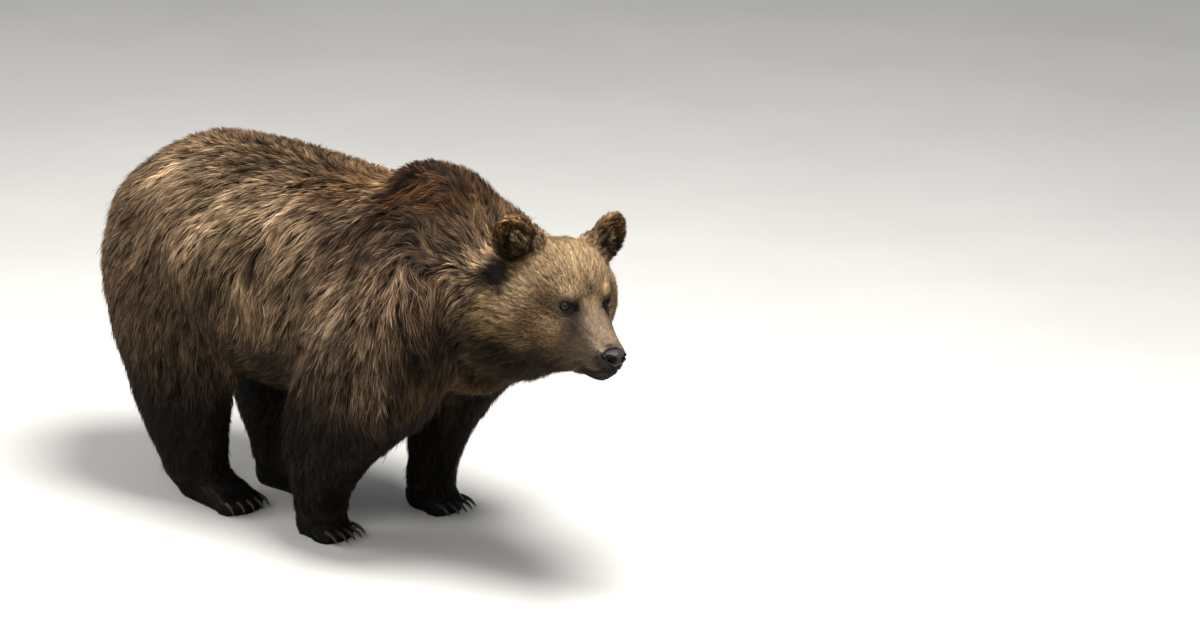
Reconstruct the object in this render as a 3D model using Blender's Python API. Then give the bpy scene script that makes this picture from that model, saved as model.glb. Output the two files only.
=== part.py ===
"""A life-size brown bear on all fours, its head turned a little to its right, as a still model.

The outline is the outline of the coat. The bear faces +X, its left side is +Y and the floor is z = 0.
The flesh is lofted form by form, fused and softened into one body, and then parted by thin cuts.
"""

import math

import bmesh
import bpy
import numpy as np
from mathutils import Matrix, Vector

# --- Driving dimensions, in metres -----------------------------------------------------------------
GAP = 0.0004  # between two pieces that meet
VOXEL = 0.010  # grid that fuses the forms
SOFTENING = 36  # rounds of smoothing over the joins between forms
FLESH_TRIANGLES = 3350
LEFT, RIGHT = 1, -1
SIDE_NAMES = {LEFT: "left", RIGHT: "right"}

HEAD_PLACE = Vector((0.900, -0.090, 0.772))  # midpoint between the eyes
HEAD_YAW, HEAD_PITCH, HEAD_ROLL = -16.6, 14.1, -5.6  # degrees: to its right, nose down, left ear low
EYE_RADIUS = 0.0125
EYE_SPACING = 0.128
EAR_PLACES = {LEFT: Vector((-0.165, 0.153, 0.099)), RIGHT: Vector((-0.165, -0.148, 0.112))}
NOSE_PLACE = Vector((0.166, 0, -0.066))
NOSE_RADII = Vector((0.024, 0.036, 0.024))

# The middle of each sole, and how far its toes turn out, in degrees.
FORE_FEET = {LEFT: ((0.172, 0.130), 2), RIGHT: ((0.098, -0.230), 0)}
HIND_FEET = {LEFT: ((-0.222, 0.015), 3), RIGHT: ((-0.315, -0.212), 8)}


def turn(degrees, axis):
    return Matrix.Rotation(math.radians(degrees), 4, axis)


HEAD = Matrix.Translation(HEAD_PLACE) @ turn(HEAD_YAW, "Z") @ turn(HEAD_PITCH, "Y") @ turn(HEAD_ROLL, "X")

# --- Materials -------------------------------------------------------------------------------------
FINISHES = {
    "coat_brown": ((0.110, 0.072, 0.042), 0.85),
    "coat_face": ((0.240, 0.165, 0.095), 0.85),
    "coat_dark": ((0.022, 0.015, 0.010), 0.85),
    "nose_skin": ((0.012, 0.011, 0.012), 0.45),
    "eye": ((0.020, 0.010, 0.006), 0.08),
    "claw": ((0.060, 0.048, 0.038), 0.40),
}


def material(name):
    """The named finish as a Principled material."""
    made = bpy.data.materials.get(name)
    if made is None:
        made = bpy.data.materials.new(name)
        made.use_nodes = True
        colour, roughness = FINISHES[name]
        shader = made.node_tree.nodes["Principled BSDF"]
        shader.inputs["Base Color"].default_value = (*colour, 1.0)
        shader.inputs["Roughness"].default_value = roughness
        shader.inputs["Metallic"].default_value = 0.0
    return made


# --- Objects and cuts ------------------------------------------------------------------------------
def add_object(name, bm, finish=None):
    """A new object made from bm, which is freed."""
    mesh = bpy.data.meshes.new(name)
    bmesh.ops.recalc_face_normals(bm, faces=bm.faces)
    store(bm, mesh)
    obj = bpy.data.objects.new(name, mesh)
    bpy.context.scene.collection.objects.link(obj)
    if finish:
        mesh.materials.append(material(finish))
    return obj


def store(bm, mesh):
    """Writes bm to the mesh as triangles, so that a swollen copy bends along the same edges."""
    bmesh.ops.triangulate(bm, faces=bm.faces)
    bm.to_mesh(mesh)
    bm.free()


def apply_modifiers(obj):
    """The object keeps the shape its modifiers give it, and loses them."""
    graph = bpy.context.evaluated_depsgraph_get()
    mesh = bpy.data.meshes.new_from_object(obj.evaluated_get(graph))
    obj.modifiers.clear()
    old, obj.data = obj.data, mesh
    mesh.name = obj.name
    bpy.data.meshes.remove(old)


def boolean(obj, cutter, operation):
    step = obj.modifiers.new(operation.lower(), "BOOLEAN")
    step.operation = operation
    step.solver = "EXACT"
    step.object = cutter
    apply_modifiers(obj)
    bm = bmesh.new()
    bm.from_mesh(obj.data)
    store(bm, obj.data)


def swollen(obj, amount):
    """A hidden copy of obj with its surface moved out by amount."""
    bm = bmesh.new()
    bm.from_mesh(obj.data)
    bm.normal_update()
    for vert, step in [(v, v.normal * min(v.calc_shell_factor(), 2)) for v in bm.verts]:
        vert.co += step * amount
    return helper(add_object(obj.name + "_swollen", bm))


def helper(obj):
    obj.hide_render = True
    obj.display_type = "WIRE"
    return obj


def drop(*objects):
    for obj in objects:
        bpy.data.objects.remove(obj)


def split_off(body, name, finish, bm):
    """A new node: what body holds inside the closed region bm. The body loses it, and a thin gap round it."""
    region = helper(add_object(name + "_region", bm))
    piece = bpy.data.objects.new(name, body.data.copy())
    bpy.context.scene.collection.objects.link(piece)
    boolean(piece, region, "INTERSECT")
    outer = swollen(region, GAP)
    boolean(body, outer, "DIFFERENCE")
    drop(region, outer)
    piece.data.materials.clear()
    piece.data.materials.append(material(finish))
    return piece


def subtract(body, tool, clearance=GAP):
    """Makes room in body for tool, with a gap all round."""
    outer = swollen(tool, clearance)
    boolean(body, outer, "DIFFERENCE")
    drop(outer)


# --- Forms -----------------------------------------------------------------------------------------
def smooth_between(stations, steps):
    """Catmull-Rom rows through the stations, with steps rows to each span."""
    rows = []
    last = len(stations) - 1
    for i in range(last):
        before, a, b, after = (stations[max(0, min(last, i + k))] for k in (-1, 0, 1, 2))
        for step in range(steps):
            t = step / steps
            rows.append(
                [
                    0.5 * (2 * q + (r - p) * t + (2 * p - 5 * q + 4 * r - s) * t * t + (3 * q - p - 3 * r + s) * t**3)
                    for p, q, r, s in zip(before, a, b, after)
                ]
            )
    rows.append(list(stations[last]))
    return rows


def add_loft(bm, stations, place=Matrix(), sides=28, steps=4, cap=0.5, rounding=(30, 55, 75)):
    """A closed tube through stations of (x, y, z, side, front, back), with rounded ends.

    side is the half-width across, along Y as near as the path lets it be. front and back are the reaches at
    right angles to it and to the path: up and down on a form that runs along +X, forward and backward on one
    that runs down. rounding lists the angles of the rings that round off each end.
    """
    rows = smooth_between(stations, steps)
    centres = [Vector(row[:3]) for row in rows]
    rings = []
    for i, row in enumerate(rows):
        tangent = (centres[min(i + 1, len(rows) - 1)] - centres[max(i - 1, 0)]).normalized()
        across = Vector((-tangent.x * tangent.y, 1 - tangent.y**2, -tangent.z * tangent.y)).normalized()
        rings.append((centres[i], tangent, across, tangent.cross(across), row[3:]))
    for end, direction in ((0, -1), (-1, 1)):
        centre, tangent, across, up, reach = rings[end]
        for angle in map(math.radians, rounding):
            moved = centre + tangent * (direction * cap * min(reach) * math.sin(angle))
            ring = (moved, tangent, across, up, [r * math.cos(angle) for r in reach])
            rings.insert(0, ring) if end == 0 else rings.append(ring)
    loops = []
    for centre, _, across, up, (side, front, back) in rings:
        loop = []
        for k in range(sides):
            angle = 2 * math.pi * k / sides
            along = math.cos(angle)
            point = centre + across * (side * math.sin(angle)) + up * (along * (front if along > 0 else back))
            loop.append(bm.verts.new(place @ point))
        loops.append(loop)
    for first, second in zip(loops, loops[1:]):
        for k in range(sides):
            n = (k + 1) % sides
            bm.faces.new((first[k], first[n], second[n], second[k]))
    bm.faces.new(loops[0][::-1])
    bm.faces.new(loops[-1])


def add_ball(bm, centre, radii, place=Matrix(), tilt=0, splay=0, fineness=3):
    """An ellipsoid: tilt turns it nose down and splay turns it to the left, in degrees."""
    matrix = Matrix.Translation(centre) @ turn(splay, "Z") @ turn(tilt, "Y") @ Matrix.Diagonal((*radii, 1))
    bmesh.ops.create_icosphere(bm, subdivisions=fineness, radius=1, matrix=place @ matrix)


def add_box(bm, low, high, place=Matrix()):
    low, high = Vector(low), Vector(high)
    matrix = Matrix.Translation((low + high) / 2) @ Matrix.Diagonal((*(high - low), 1))
    bmesh.ops.create_cube(bm, size=1, matrix=place @ matrix)


# --- The flesh, form by form -----------------------------------------------------------------------
def add_trunk(bm):
    add_loft(
        bm,
        [  # rump, loins, barrel, shoulders, chest
            (-0.785, 0, 0.650, 0.140, 0.130, 0.150),
            (-0.71, 0, 0.662, 0.215, 0.205, 0.215),
            (-0.55, 0, 0.668, 0.300, 0.300, 0.270),
            (-0.34, 0, 0.665, 0.332, 0.316, 0.325),
            (-0.10, 0, 0.650, 0.348, 0.314, 0.338),
            (0.10, -0.005, 0.650, 0.335, 0.302, 0.320),
            (0.27, -0.010, 0.670, 0.290, 0.315, 0.280),
            (0.42, -0.015, 0.690, 0.250, 0.290, 0.250),
            (0.55, -0.015, 0.695, 0.190, 0.190, 0.200),
        ],
    )
    add_ball(bm, (0.345, -0.01, 0.895), (0.200, 0.125, 0.145), tilt=12)  # hump


def add_neck(bm):
    base = HEAD @ Vector((-0.20, 0, -0.035))
    add_loft(
        bm,
        [
            (0.34, -0.010, 0.730, 0.250, 0.280, 0.235),
            (0.48, -0.015, 0.735, 0.240, 0.212, 0.245),
            (0.60, -0.025, 0.740, 0.218, 0.155, 0.235),
            (*base, 0.188, 0.105, 0.198),
        ],
    )
    add_ball(bm, (0.46, -0.01, 0.585), (0.150, 0.190, 0.165))  # breast


def add_head(bm):
    """In the head's own frame: the eyes at z = 0, the nose towards +X."""
    add_ball(bm, (-0.125, 0, 0.000), (0.145, 0.128, 0.120), HEAD)  # skull
    for side in (LEFT, RIGHT):
        add_ball(bm, (-0.130, side * 0.088, -0.065), (0.105, 0.092, 0.125), HEAD, splay=side * -12)  # ruff
        add_ball(bm, (-0.040, side * 0.056, -0.106), (0.095, 0.064, 0.096), HEAD, splay=side * -18)  # cheek
        add_ball(bm, (-0.034, side * 0.040, 0.028), (0.052, 0.042, 0.032), HEAD, tilt=14)  # brow
        add_ball(bm, (-0.165, side * 0.112, 0.050), (0.045, 0.040, 0.045), HEAD)  # base of the ear
    add_loft(  # face and muzzle
        bm,
        [
            (-0.110, 0, -0.030, 0.120, 0.110, 0.115),
            (-0.040, 0, -0.040, 0.100, 0.088, 0.108),
            (0.010, 0, -0.055, 0.078, 0.070, 0.086),
            (0.065, 0, -0.069, 0.061, 0.056, 0.068),
            (0.110, 0, -0.078, 0.055, 0.047, 0.054),
            (0.151, 0, -0.082, 0.049, 0.042, 0.044),
        ],
        HEAD,
    )
    add_loft(  # lower jaw
        bm,
        [
            (-0.090, 0, -0.115, 0.088, 0.070, 0.072),
            (0.000, 0, -0.122, 0.064, 0.055, 0.058),
            (0.070, 0, -0.118, 0.050, 0.045, 0.046),
            (0.137, 0, -0.112, 0.041, 0.035, 0.033),
        ],
        HEAD,
    )


def add_limb(bm, stations, shape):
    """A limb through the places given by stations, its thickness at each from shape."""
    add_loft(bm, [(*place, *reach) for place, reach in zip(stations, shape)], cap=0.6)


def add_forelegs(bm):
    right = [(0.35, -0.150, 0.87), (0.375, -0.200, 0.74), (0.355, -0.235, 0.60), (0.300, -0.250, 0.48)]
    right += [(0.228, -0.252, 0.37), (0.168, -0.248, 0.28), (0.120, -0.243, 0.18), (0.094, -0.236, 0.08)]
    shape = [(0.090, 0.110, 0.130), (0.125, 0.155, 0.175), (0.140, 0.180, 0.205), (0.140, 0.180, 0.210)]
    shape += [(0.125, 0.135, 0.195), (0.112, 0.108, 0.165), (0.090, 0.083, 0.122), (0.066, 0.066, 0.075)]
    add_limb(bm, right, shape)
    left = [(0.31, 0.135, 0.84), (0.340, 0.178, 0.72), (0.330, 0.195, 0.60), (0.290, 0.182, 0.48)]
    left += [(0.240, 0.165, 0.37), (0.205, 0.150, 0.28), (0.178, 0.138, 0.18), (0.160, 0.130, 0.08)]
    shape = [(0.085, 0.090, 0.115), (0.120, 0.140, 0.165), (0.140, 0.175, 0.200)]
    shape += [(0.122, 0.145, 0.170), (0.102, 0.108, 0.140), (0.090, 0.088, 0.115)]
    shape += [(0.074, 0.072, 0.090), (0.063, 0.062, 0.072)]
    add_limb(bm, left, shape)


def add_hindlegs(bm):
    right = [(-0.52, -0.140, 0.82), (-0.53, -0.180, 0.67), (-0.49, -0.208, 0.51), (-0.440, -0.220, 0.37)]
    right += [(-0.420, -0.220, 0.26), (-0.405, -0.216, 0.16), (-0.398, -0.210, 0.07)]
    shape = [(0.110, 0.150, 0.138), (0.142, 0.220, 0.203), (0.138, 0.215, 0.192), (0.122, 0.180, 0.176)]
    shape += [(0.105, 0.145, 0.160), (0.088, 0.115, 0.132), (0.076, 0.095, 0.080)]
    add_limb(bm, right, shape)
    left = [(-0.52, 0.140, 0.82), (-0.53, 0.180, 0.67), (-0.47, 0.200, 0.51), (-0.395, 0.160, 0.37)]
    left += [(-0.345, 0.110, 0.26), (-0.310, 0.060, 0.16), (-0.300, 0.024, 0.07)]
    shape[3:6] = [(0.122, 0.180, 0.228), (0.105, 0.140, 0.210), (0.088, 0.110, 0.160)]
    add_limb(bm, left, shape)


def paw_frame(foot):
    (x, y), toes_out = foot
    return Matrix.Translation((x, y, 0)) @ turn(toes_out if y > 0 else -toes_out, "Z")


def add_paw(bm, foot, length, half_width):
    """A flat-soled paw with five toes."""
    frame = paw_frame(foot)
    add_loft(
        bm,
        [
            (-length * 0.44, 0, 0.038, half_width * 0.78, 0.046, 0.055),
            (0, 0, 0.040, half_width * 0.95, 0.050, 0.060),
            (length * 0.26, 0, 0.034, half_width, 0.040, 0.055),
        ],
        frame,
    )
    for place, _ in toes(length, half_width):
        add_ball(bm, place, (0.036, half_width * 0.235, 0.030), frame)


def toes(length, half_width):
    """Each toe's middle in the paw's frame, and the way it points, in degrees to the left."""
    for k in (-2, -1, 0, 1, 2):
        yield Vector((length * 0.5 - 0.022 - 0.0035 * k * k, k * half_width * 0.40, 0.018)), k * 4


FORE_PAW = (0.140, 0.058)  # length without claws, half-width
HIND_PAW = (0.260, 0.068)


def softness(points):
    """How much each point may move in smoothing: all of it on the body, little on the face and paws."""
    local = points @ np.array(HEAD.inverted().to_3x3()).T + np.array(HEAD.inverted().translation)
    face = np.clip((local[:, 0] + 0.16) / 0.12, 0, 1)
    paw = np.clip((0.13 - points[:, 2]) / 0.07, 0, 1)
    return 1 - 0.80 * np.maximum(face, paw)


def soften(mesh, rounds):
    """Laplacian smoothing, in pairs of steps that shrink and swell again, so that the forms keep their size."""
    count = len(mesh.vertices)
    points = np.empty(count * 3)
    mesh.vertices.foreach_get("co", points)
    points = points.reshape(-1, 3)
    edges = np.empty(len(mesh.edges) * 2, np.int32)
    mesh.edges.foreach_get("vertices", edges)
    a, b = edges.reshape(-1, 2).T
    degree = np.maximum(np.bincount(np.concatenate((a, b)), minlength=count), 1)[:, None]
    for step in range(rounds * 2):
        total = np.stack(
            [np.bincount(a, points[b, i], count) + np.bincount(b, points[a, i], count) for i in range(3)], axis=1
        )
        weight = softness(points)[:, None] * (0.62 if step % 2 == 0 else -0.50)
        points = points + (total / degree - points) * weight
    mesh.vertices.foreach_set("co", points.ravel())
    mesh.update()


def make_flesh():
    """The fused, softened and thinned-out body, cut flat at the floor."""
    bm = bmesh.new()
    add_trunk(bm)
    add_neck(bm)
    add_head(bm)
    add_forelegs(bm)
    add_hindlegs(bm)
    for side in (LEFT, RIGHT):
        add_paw(bm, FORE_FEET[side], *FORE_PAW)
        add_paw(bm, HIND_FEET[side], *HIND_PAW)
    add_ball(bm, (-0.850, 0, 0.700), (0.044, 0.044, 0.085), tilt=15)  # tail
    flesh = add_object("trunk", bm, "coat_brown")
    fuse = flesh.modifiers.new("fuse", "REMESH")
    fuse.mode = "VOXEL"
    fuse.voxel_size = VOXEL
    apply_modifiers(flesh)
    soften(flesh.data, SOFTENING)
    detail = flesh.vertex_groups.new(name="detail")
    for vert in flesh.data.vertices:
        fine = 1 - softness(np.array([vert.co]))[0]
        detail.add([vert.index], fine, "REPLACE")
    thin = flesh.modifiers.new("thin", "DECIMATE")
    thin.vertex_group = "detail"
    thin.vertex_group_factor = 0.1
    thin.invert_vertex_group = True
    flesh.data.calc_loop_triangles()
    thin.ratio = FLESH_TRIANGLES / len(flesh.data.loop_triangles)
    apply_modifiers(flesh)
    bm = bmesh.new()
    bm.from_mesh(flesh.data)
    cut = bmesh.ops.bisect_plane(
        bm, geom=bm.verts[:] + bm.edges[:] + bm.faces[:], plane_co=(0, 0, 0), plane_no=(0, 0, 1), clear_inner=True
    )
    rim = [e for e in cut["geom_cut"] if isinstance(e, bmesh.types.BMEdge)]
    bmesh.ops.holes_fill(bm, edges=rim)
    store(bm, flesh.data)
    return flesh


# --- The cuts that part the flesh into nodes -------------------------------------------------------
SHANK_TOP = 0.300
PAW_TOP = 0.088


def part_limbs(trunk):
    """Each leg's paw, lower leg and upper leg."""
    # Rows of (x, y outwards, z, side, front, back) round the shoulder and the thigh.
    shoulder = [(0.36, 0.265, 0.80, 0.13, 0.15, 0.16), (0.36, 0.285, 0.62, 0.19, 0.22, 0.24)]
    fore = {
        RIGHT: shoulder + [(0.27, 0.285, 0.42, 0.19, 0.22, 0.24), (0.17, 0.27, 0.24, 0.18, 0.18, 0.23)],
        LEFT: shoulder + [(0.27, 0.255, 0.42, 0.19, 0.22, 0.23), (0.20, 0.20, 0.24, 0.17, 0.18, 0.20)],
    }
    thigh = [(-0.52, 0.26, 0.80, 0.13, 0.18, 0.18), (-0.53, 0.27, 0.66, 0.18, 0.25, 0.26)]
    hind = {
        RIGHT: thigh + [(-0.47, 0.28, 0.45, 0.18, 0.24, 0.25), (-0.42, 0.26, 0.24, 0.17, 0.21, 0.22)],
        LEFT: thigh + [(-0.44, 0.23, 0.45, 0.19, 0.24, 0.25), (-0.34, 0.14, 0.24, 0.18, 0.19, 0.23)],
    }
    # The reach of each lower leg below the belly, backward, forward and to each side of its foot.
    fore_reach, hind_reach = (0.19, 0.30, 0.12, 0.16), {LEFT: (0.44, 0.13, 0.11, 0.28), RIGHT: (0.42, 0.15, 0.13, 0.18)}
    paws = {}
    for side in (LEFT, RIGHT):
        name = SIDE_NAMES[side]
        for foot, length, region, reach, upper, lower, paw in (
            (FORE_FEET[side], 0.11, fore[side], fore_reach, "foreleg_upper_", "foreleg_lower_", "forepaw_"),
            (HIND_FEET[side], 0.19, hind[side], hind_reach[side], "thigh_", "shank_", "hindfoot_"),
        ):
            bm = bmesh.new()
            add_box(bm, (-length - 0.05, -0.10, -0.05), (length, 0.10, PAW_TOP), paw_frame(foot))
            paws[paw + name] = split_off(trunk, paw + name, "coat_dark", bm)
            back, ahead, inward, outward = reach
            (x, y), _ = foot
            y_range = sorted((y - side * inward, y + side * outward))
            bm = bmesh.new()
            add_box(bm, (x - back, y_range[0], PAW_TOP - 0.05), (x + ahead, y_range[1], SHANK_TOP))
            split_off(trunk, lower + name, "coat_dark", bm)
            bm = bmesh.new()
            add_loft(bm, [(a, side * b, *rest) for a, b, *rest in region], sides=10, steps=1, rounding=(50,))
            split_off(trunk, upper + name, "coat_brown", bm)
    return paws


def part_head(trunk):
    """The head, neck, tail and lower jaw."""
    bm = bmesh.new()
    add_box(bm, (-0.190, -0.40, -0.40), (0.40, 0.40, 0.40), HEAD)
    head = split_off(trunk, "head", "coat_face", bm)
    bm = bmesh.new()
    add_box(bm, (0, -0.40, -0.40), (0.40, 0.40, 0.40), Matrix.Translation((0.545, 0, 0.72)) @ turn(8, "Y"))
    neck = split_off(trunk, "neck", "coat_brown", bm)
    bm = bmesh.new()
    add_ball(bm, (-0.895, 0, 0.695), (0.075, 0.070, 0.110), fineness=2)
    split_off(trunk, "tail", "coat_brown", bm)
    bm = bmesh.new()
    add_box(bm, (-0.020, -0.15, -0.30), (0.30, 0.15, -0.112), HEAD)
    split_off(head, "lower_jaw", "coat_face", bm)
    return head, neck


# --- What stands on the flesh ----------------------------------------------------------------------
def add_nose(head):
    bm = bmesh.new()
    add_ball(bm, NOSE_PLACE, NOSE_RADII, HEAD, fineness=2)
    nose = add_object("nose", bm, "nose_skin")
    for side in (LEFT, RIGHT):
        bm = bmesh.new()
        add_ball(bm, NOSE_PLACE + Vector((0.023, side * 0.015, -0.003)), (0.012, 0.007, 0.008), HEAD, fineness=1)
        nostril = helper(add_object("nostril", bm))
        boolean(nose, nostril, "DIFFERENCE")
        drop(nostril)
    bm = bmesh.new()
    add_ball(bm, NOSE_PLACE, NOSE_RADII + Vector((GAP, GAP, GAP)), HEAD, fineness=2)
    room = helper(add_object("nose_room", bm))
    boolean(head, room, "DIFFERENCE")
    drop(room)


def add_ear(head, neck, side):
    """A round cup on a thick root, set in its own frame with x the way it faces and z up the ear."""
    frame = HEAD @ Matrix.Translation(EAR_PLACES[side])
    frame = frame @ turn(side * 14, "Z") @ turn(side * -30, "X") @ turn(-8, "Y")
    bm = bmesh.new()
    add_ball(bm, (0, 0, 0), (0.030, 0.058, 0.070), frame, fineness=2)
    ear = add_object("ear_" + SIDE_NAMES[side], bm, "coat_brown")
    bm = bmesh.new()
    add_ball(bm, (-0.014, side * -0.033, -0.043), (0.031, 0.050, 0.034), frame, fineness=2)
    root = helper(add_object("root", bm))
    boolean(ear, root, "UNION")
    drop(root)
    bm = bmesh.new()
    add_ball(bm, (0.026, 0, 0.008), (0.030, 0.041, 0.050), frame, fineness=2)
    cup = helper(add_object("cup", bm))
    boolean(ear, cup, "DIFFERENCE")
    drop(cup)
    subtract(ear, head)
    subtract(ear, neck)


def add_eye(head, side):
    place = HEAD @ Vector((0, side * EYE_SPACING / 2, 0))
    look = (HEAD.to_3x3() @ Vector((0.80, side * 0.58, 0.10))).normalized()
    found, surface, _, _ = head.ray_cast(place + look * 0.2, -look)
    if found:
        place = surface - look * EYE_RADIUS * 0.5
    bm = bmesh.new()
    bmesh.ops.create_icosphere(bm, subdivisions=2, radius=EYE_RADIUS, matrix=Matrix.Translation(place))
    subtract(head, add_object("eye_" + SIDE_NAMES[side], bm, "eye"))


def add_claws(paws):
    """Five curved claws to a paw, longer in front."""
    for feet, size, reach, paw in ((FORE_FEET, FORE_PAW, 0.040, "forepaw_"), (HIND_FEET, HIND_PAW, 0.026, "hindfoot_")):
        for side in (LEFT, RIGHT):
            name = paw + SIDE_NAMES[side]
            for k, (place, points) in enumerate(toes(*size)):
                bm = bmesh.new()
                path = [(-0.005, 0.012, 1.0), (0.022, 0.016, 1.0), (0.030 + reach * 0.5, 0.011, 0.75)]
                path += [(0.026 + reach, -0.004, 0.30)]
                add_loft(
                    bm,
                    [(x, 0, z, 0.0070 * w, 0.0085 * w, 0.0085 * w) for x, z, w in path],
                    paw_frame(feet[side]) @ Matrix.Translation(place) @ turn(points, "Z"),
                    sides=5,
                    steps=1,
                    rounding=(55,),
                )
                claw = add_object(f"claw_{name}_{k + 1}", bm, "claw")
                subtract(claw, paws[name])


# --- The whole -------------------------------------------------------------------------------------
def centre_on_origin():
    """Moves everything so that the middle of the bottom of the whole box is the origin."""
    points = [v.co for o in bpy.context.scene.objects if not o.hide_render for v in o.data.vertices]
    middle = [(min(p[i] for p in points) + max(p[i] for p in points)) / 2 for i in (0, 1)]
    shift = Matrix.Translation((-middle[0], -middle[1], -min(p.z for p in points)))
    for obj in bpy.context.scene.objects:
        obj.data.transform(shift)


def clear_scene():
    for obj in list(bpy.data.objects):
        bpy.data.objects.remove(obj)


def main():
    clear_scene()
    trunk = make_flesh()
    paws = part_limbs(trunk)
    head, neck = part_head(trunk)
    add_nose(head)
    for side in (LEFT, RIGHT):
        add_ear(head, neck, side)
        add_eye(head, side)
    add_claws(paws)
    centre_on_origin()


main()
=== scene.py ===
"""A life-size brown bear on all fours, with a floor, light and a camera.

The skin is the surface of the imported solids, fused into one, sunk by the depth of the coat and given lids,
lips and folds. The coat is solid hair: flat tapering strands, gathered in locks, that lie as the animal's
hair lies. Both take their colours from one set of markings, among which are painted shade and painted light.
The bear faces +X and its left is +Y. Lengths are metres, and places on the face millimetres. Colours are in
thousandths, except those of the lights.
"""

import math

import bmesh
import bpy
import numpy as np
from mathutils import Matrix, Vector
from mathutils.bvhtree import BVHTree
from mathutils.kdtree import KDTree


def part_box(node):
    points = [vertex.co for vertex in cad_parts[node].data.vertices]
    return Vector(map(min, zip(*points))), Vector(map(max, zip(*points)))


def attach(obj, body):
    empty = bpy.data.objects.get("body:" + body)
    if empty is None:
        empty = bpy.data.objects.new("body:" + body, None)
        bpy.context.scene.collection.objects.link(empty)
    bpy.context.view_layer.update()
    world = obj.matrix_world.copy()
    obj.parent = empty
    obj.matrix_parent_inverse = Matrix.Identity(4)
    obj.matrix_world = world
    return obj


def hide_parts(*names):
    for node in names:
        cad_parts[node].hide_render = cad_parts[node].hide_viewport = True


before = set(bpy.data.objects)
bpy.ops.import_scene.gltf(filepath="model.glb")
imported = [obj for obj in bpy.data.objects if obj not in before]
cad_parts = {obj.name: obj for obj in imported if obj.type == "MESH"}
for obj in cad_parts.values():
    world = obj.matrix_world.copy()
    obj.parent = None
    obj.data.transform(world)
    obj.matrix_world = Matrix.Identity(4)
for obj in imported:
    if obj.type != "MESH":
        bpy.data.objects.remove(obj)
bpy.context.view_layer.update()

SIDES = ("left", "right")
RNG = np.random.default_rng(7)

# --- The skin ---
SKIN_VOXEL = 0.007  # grid that fuses the solids
NOSE_VOXEL = 0.0013
WELD = 0.00001  # the frame's meshes come apart along sharp edges
OVERLAP = 0.0007  # swells each solid over the thin cuts between them
SMOOTHING, NOSE_SMOOTHING = 14, 12  # rounds
ZONE_BLENDING = 26  # rounds that spread each zone of the coat into the next
EAR_SHRINK = 0.1  # leaves room for the hair round the rim
EYEBALL = 0.985  # its radius, in eye radii
CORNEA = 0.035  # its bulge, in eyeball radii
LID = 0.0016  # thickness
OPENING = (1.22, 0.68)  # of the lids, half its length and height, in eye radii
OPENING_PLACE = (0.0022, -0.0028)  # its middle, towards the nose and up from the eye's own
NOSTRIL = (0.019, 0.003)  # its middle, out to the side and up from the nose's own
NOSTRIL_SIZE = (0.014, 0.0112)

# --- The coat, by zone ---
# depth: from the outline down to the skin, which is how far off it the hair stands. length and width: of
# one strand. crowd: strands to a square centimetre. gather: how far a strand's tip is drawn to the middle
# of its lock. under and tips: the colour of each end of the hair. The dark roots are partly the hair's own
# darker base and partly painted shade deep in the coat.
QUALITIES = ("depth", "length", "width", "crowd", "gather", "under", "tips")
ZONES = {
    "trunk": (0.02, 0.066, 0.0019, 5.8, 0.6, (16, 9, 5), (190, 122, 72)),
    "neck": (0.018, 0.042, 0.0018, 7.5, 0.58, (14, 9, 5), (400, 272, 158)),
    "head": (0.009, 0.023, 0.0011, 17, 0.34, (26, 15, 7), (330, 215, 112)),
    "jaw": (0.006, 0.022, 0.0012, 15, 0.4, (14, 9, 5), (150, 96, 50)),
    "ear": (0.01, 0.02, 0.0011, 24, 0.35, (12, 6, 3), (190, 100, 38)),
    "tail": (0.012, 0.045, 0.0018, 7, 0.55, (12, 7, 4), (100, 64, 36)),
    "arm": (0.018, 0.062, 0.0019, 6.6, 0.6, (13, 8, 5), (185, 120, 74)),
    "forearm": (0.012, 0.044, 0.0017, 8.2, 0.58, (2, 1.4, 1), (8.5, 6, 4)),
    "thigh": (0.017, 0.058, 0.0019, 6.2, 0.6, (10, 6, 4), (180, 118, 68)),
    "shank": (0.012, 0.044, 0.0017, 8, 0.58, (2, 1.4, 1), (13, 9, 6)),
    "paw": (0.003, 0.014, 0.0013, 11, 0.4, (2, 1.4, 1), (8, 6, 4.5)),
}
ZONE_NAMES = list(ZONES)
# The same for the short hair of the muzzle and round the eyes, whose skin is sunk less than the hair stands.
SHORT_HAIR = {"depth": 0.0022, "length": 0.0085, "width": 0.001, "crowd": 34, "gather": 0.2}
SHORT_HAIR_SINK = 0.0018
ZONE_OF = {"trunk": "trunk", "neck": "neck", "head": "head", "lower_jaw": "jaw", "tail": "tail"}
PAIRED = {
    "ear": "ear",
    "foreleg_upper": "arm",
    "foreleg_lower": "forearm",
    "forepaw": "paw",
    "thigh": "thigh",
    "shank": "shank",
    "hindfoot": "paw",
}
ZONE_OF.update({f"{part}_{side}": zone for side in SIDES for part, zone in PAIRED.items()})
FLESH = list(ZONE_OF)

LOCK_STRANDS = 5  # strands gathered in a lock
STREAK = 5  # locks, each way along the hair, that share a tone
COMB_STEPS = 6  # that a lock's path is worked out in
STRAND_STEPS = 3  # that a strand keeps of them
CLING = 0.75  # how closely the hair follows the skin where that curves away
LONG_HAIR = 0.026  # strands from this length on have one more joint
TAPER = {2: (1.0, 0.85), 3: (1.0, 0.95, 0.68)}  # a strand's width at each joint, by how many it has
STRAYS = 0.045  # share of the strands that stand off the coat
ROOT_DEPTH = 0.0015  # of a strand's foot under the skin
FLOOR_GAP = 0.0008  # that the hair keeps
MAX_TRIANGLES = 190_000  # of one coat piece
PATCH = 0.003  # a strand's width on the bake map

# Which zones each piece of the coat covers.
COAT_PIECES = {
    "coat_head": ("head", "jaw", "ear"),
    "coat_neck": ("neck",),
    "coat_trunk": ("trunk", "tail"),
    "coat_forelegs": ("arm", "forearm"),
    "coat_hindlegs": ("thigh", "shank"),
    "coat_paws": ("paw",),
}


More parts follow.
